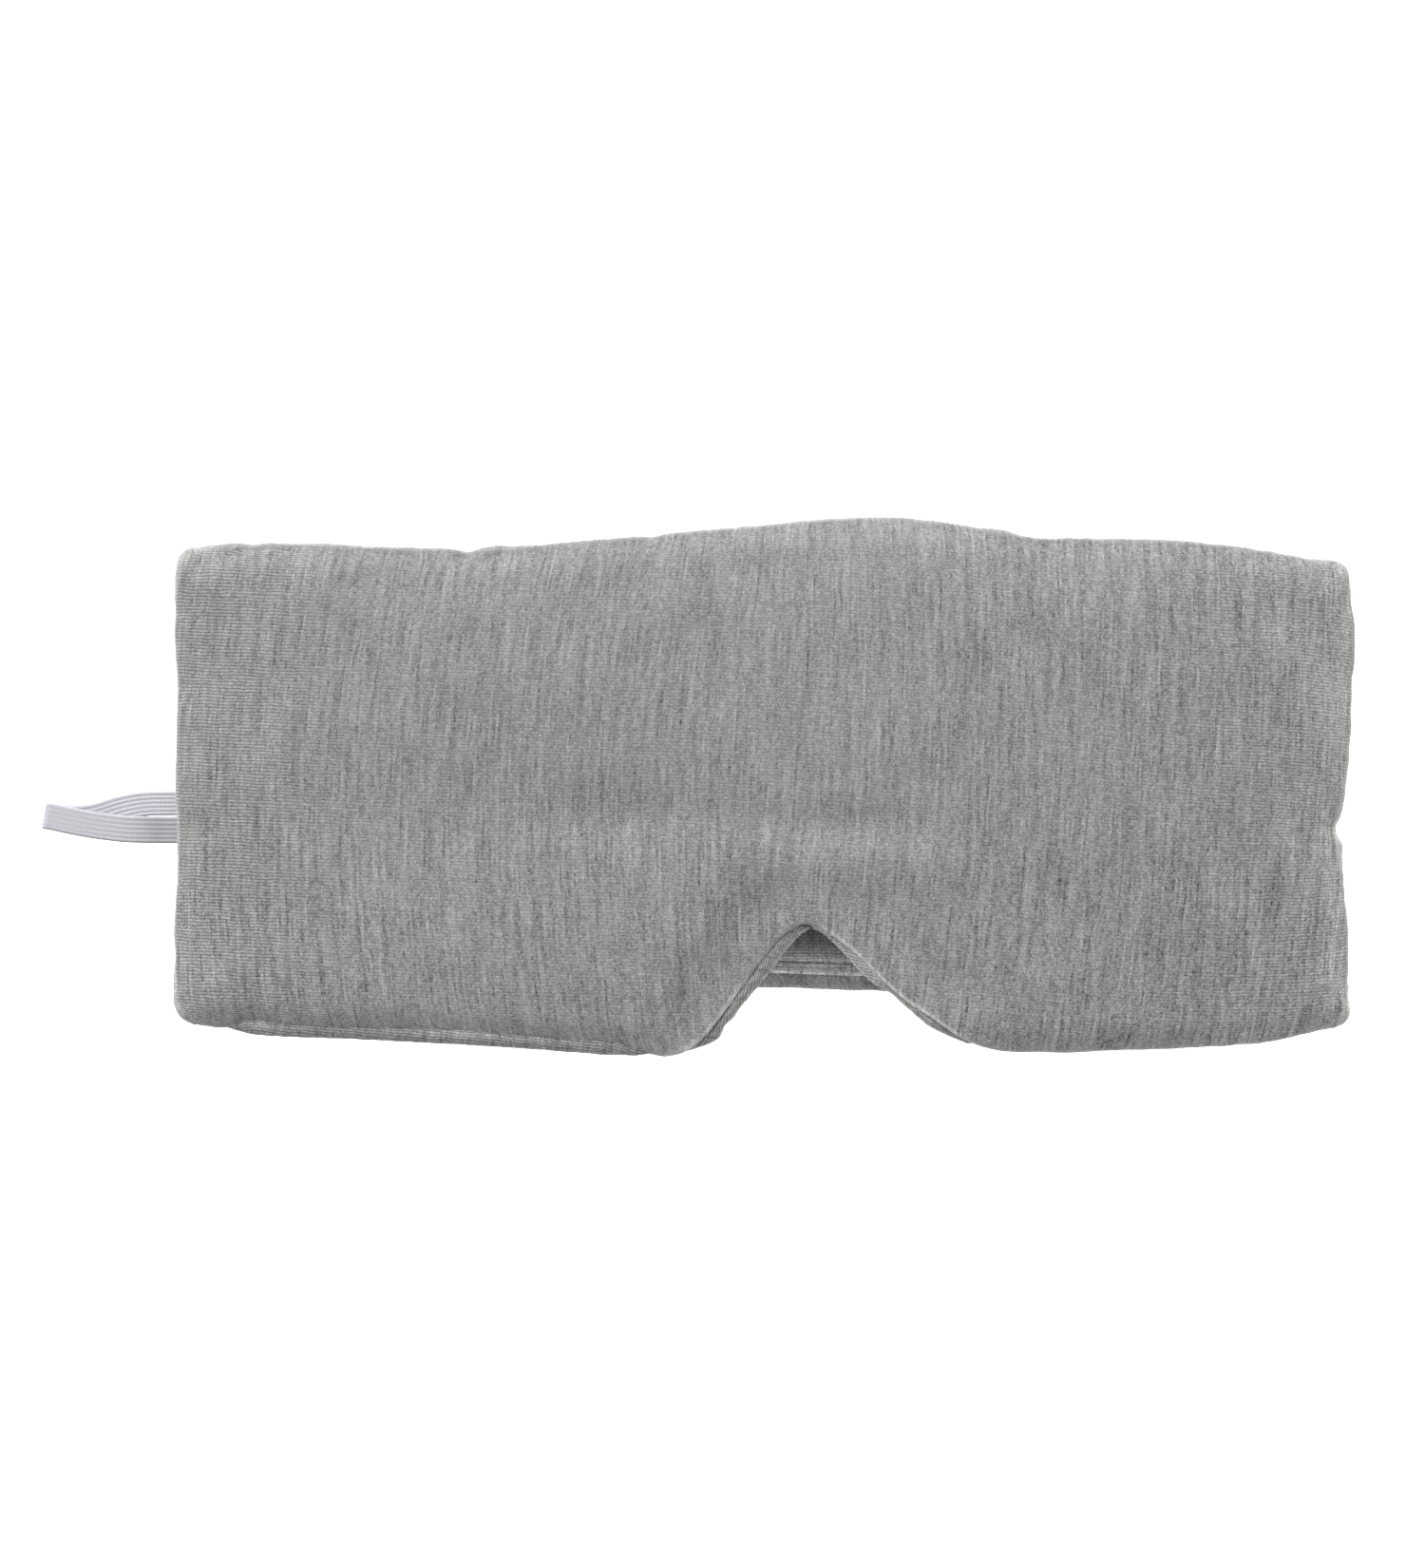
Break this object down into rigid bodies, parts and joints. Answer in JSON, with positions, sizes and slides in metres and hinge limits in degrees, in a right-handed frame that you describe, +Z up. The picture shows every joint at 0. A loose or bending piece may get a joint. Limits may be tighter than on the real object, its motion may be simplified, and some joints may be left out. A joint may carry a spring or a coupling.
{
  "type": "sleep eye mask",
  "caption": "Padded jersey sleep mask with a nose notch and a padded back band, joined at the sides by short doubled-over elastic links, held folded flat.",
  "frame": {"origin": "on the outer front face, on the nose line just above the apex of the nose notch", "axes": "+Z up towards the forehead, +X along the mask's width towards the end with the tucked-in elastic link, +Y from the front face towards the back band"},
  "size_m": [0.2578, 0.0216, 0.1057],
  "materials": {
    "jersey": "heather-grey cotton jersey with a brushed matt face",
    "lining": "heather-grey cotton jersey, matt",
    "wadding": "white polyester wadding",
    "blackout": "black opaque interlining, matt",
    "elastic": "braided flat elastic, lilac-white, slightly lustrous",
    "thread": "spun polyester sewing thread, matt"
  },
  "bodies": {
    "mask_front": {"front_cover": "jersey", "blackout_layer": "blackout", "front_padding": "wadding", "eye_side_lining": "lining", "eye_side_topstitch": "thread", "left_notch_facing": "lining", "right_notch_facing": "lining", "left_elastic_front_tail": "elastic", "right_elastic_front_tail": "elastic", "left_front_bartack": "thread", "right_front_bartack": "thread"},
    "back_band": {"back_band_cover": "jersey", "back_band_padding": "wadding", "back_band_lining": "lining", "back_band_topstitch": "thread", "left_elastic_back_tail": "elastic", "right_elastic_back_tail": "elastic", "left_back_bartack": "thread", "right_back_bartack": "thread"},
    "left_link_front": {"left_elastic_front_strand": "elastic"},
    "left_link_back": {"left_elastic_back_strand": "elastic"},
    "right_link_front": {"right_elastic_front_strand": "elastic"},
    "right_link_back": {"right_elastic_back_strand": "elastic"}
  },
  "joints": [
    {"name": "head_loop_open", "type": "slide", "parent": "mask_front", "child": "back_band", "axis": [0, 1, 0], "range_m": [0, 0.05]},
    {"name": "left_link_seam", "type": "hinge", "parent": "mask_front", "child": "left_link_front", "pos_m": [-0.107, 0.0111, 0.0132], "axis": [0, 0, 1], "range_deg": [-34.5, 0]},
    {"name": "left_link_crease", "type": "hinge", "parent": "left_link_front", "child": "left_link_back", "pos_m": [-0.1508, 0.0122, 0.016], "axis": [0, 0, 1], "range_deg": [0, 69]},
    {"name": "right_link_seam", "type": "hinge", "parent": "mask_front", "child": "right_link_front", "pos_m": [0.092, 0.0111, 0.01], "axis": [0, 0, 1], "range_deg": [-34.5, 0]},
    {"name": "right_link_crease", "type": "hinge", "parent": "right_link_front", "child": "right_link_back", "pos_m": [0.0482, 0.0122, 0.0128], "axis": [0, 0, 1], "range_deg": [0, 69]}
  ],
  "couplings": [
    {"joint": "left_link_seam", "follows": "head_loop_open", "rad_per_m": -11.8},
    {"joint": "left_link_crease", "follows": "head_loop_open", "rad_per_m": 23.6},
    {"joint": "right_link_seam", "follows": "head_loop_open", "rad_per_m": -11.8},
    {"joint": "right_link_crease", "follows": "head_loop_open", "rad_per_m": 23.6}
  ]
}
